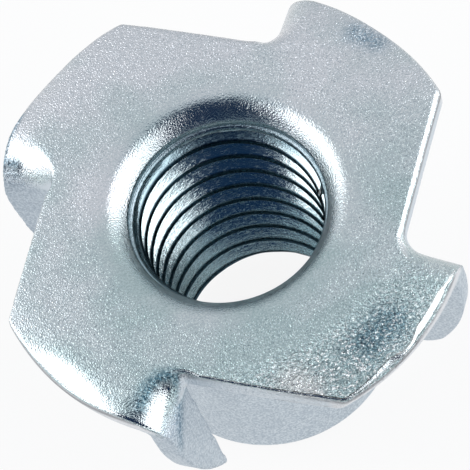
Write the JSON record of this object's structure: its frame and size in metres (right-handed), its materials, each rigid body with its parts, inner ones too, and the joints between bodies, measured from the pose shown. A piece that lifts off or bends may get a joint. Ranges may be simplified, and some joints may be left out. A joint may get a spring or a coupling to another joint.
{
  "type": "tee nut",
  "caption": "Pressed steel tee nut: a thin pinwheel flange with folded prongs around a threaded barrel that opens in a rounded mouth.",
  "frame": {"origin": "on the barrel's axis at its lower end, where the nut stands", "axes": "+Z along the barrel's axis towards the flange, which lies on top; the folded prongs point down, towards -Z"},
  "size_m": [0.0222, 0.0222, 0.0145],
  "materials": {
    "zinc_plate": "bright bluish zinc plate, slightly grained"
  },
  "bodies": {
    "root": {"tee_nut": "zinc_plate"}
  },
  "joints": []
}
